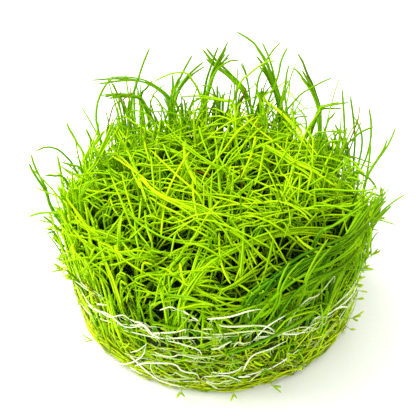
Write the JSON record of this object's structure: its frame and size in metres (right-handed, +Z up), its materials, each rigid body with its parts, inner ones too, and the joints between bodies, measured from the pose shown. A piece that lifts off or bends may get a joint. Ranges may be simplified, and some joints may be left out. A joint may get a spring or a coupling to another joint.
{
  "type": "in vitro hairgrass puck",
  "caption": "Round free-standing puck of tissue-cultured hairgrass: packed root mat, upright tufts of thin blades and white runners round its side.",
  "frame": {"origin": "centre of the flat base, on the surface that the puck rests on", "axes": "+Z up out of the base; the picture looks along +Y, with +X to the right"},
  "size_m": [0.0912, 0.087, 0.057],
  "materials": {
    "root_mat": "damp packed roots and stems",
    "blades": "wet, slightly glossy leaf",
    "runners": "smooth white stolon",
    "young_sprouts": "young leaf"
  },
  "bodies": {
    "root": {"root_mat": "root_mat", "edge_tuft_01": "blades", "edge_tuft_02": "blades", "edge_tuft_03": "blades", "edge_tuft_04": "blades", "edge_tuft_05": "blades", "edge_tuft_06": "blades", "edge_tuft_07": "blades", "edge_tuft_08": "blades", "edge_tuft_09": "blades", "edge_tuft_10": "blades", "edge_tuft_11": "blades", "edge_tuft_12": "blades", "edge_tuft_13": "blades", "edge_tuft_14": "blades", "edge_tuft_15": "blades", "edge_tuft_16": "blades", "middle_tuft_01": "blades", "middle_tuft_02": "blades", "middle_tuft_03": "blades", "middle_tuft_04": "blades", "middle_tuft_05": "blades", "middle_tuft_06": "blades", "middle_tuft_07": "blades", "middle_tuft_08": "blades", "middle_tuft_09": "blades", "centre_tuft_01": "blades", "centre_tuft_02": "blades", "centre_tuft_03": "blades", "centre_tuft_04": "blades", "runner_01": "runners", "runner_02": "runners", "runner_03": "runners", "runner_04": "runners", "runner_05": "runners", "runner_06": "runners", "runner_07": "runners", "runner_08": "runners", "runner_09": "runners", "runner_10": "runners", "runner_11": "runners", "runner_12": "runners", "plantlet_01": "young_sprouts", "plantlet_02": "young_sprouts", "plantlet_03": "young_sprouts", "plantlet_04": "young_sprouts", "plantlet_05": "young_sprouts", "plantlet_06": "young_sprouts", "plantlet_07": "young_sprouts", "plantlet_08": "young_sprouts", "plantlet_09": "young_sprouts", "plantlet_10": "young_sprouts", "plantlet_11": "young_sprouts", "plantlet_12": "young_sprouts"}
  },
  "joints": []
}
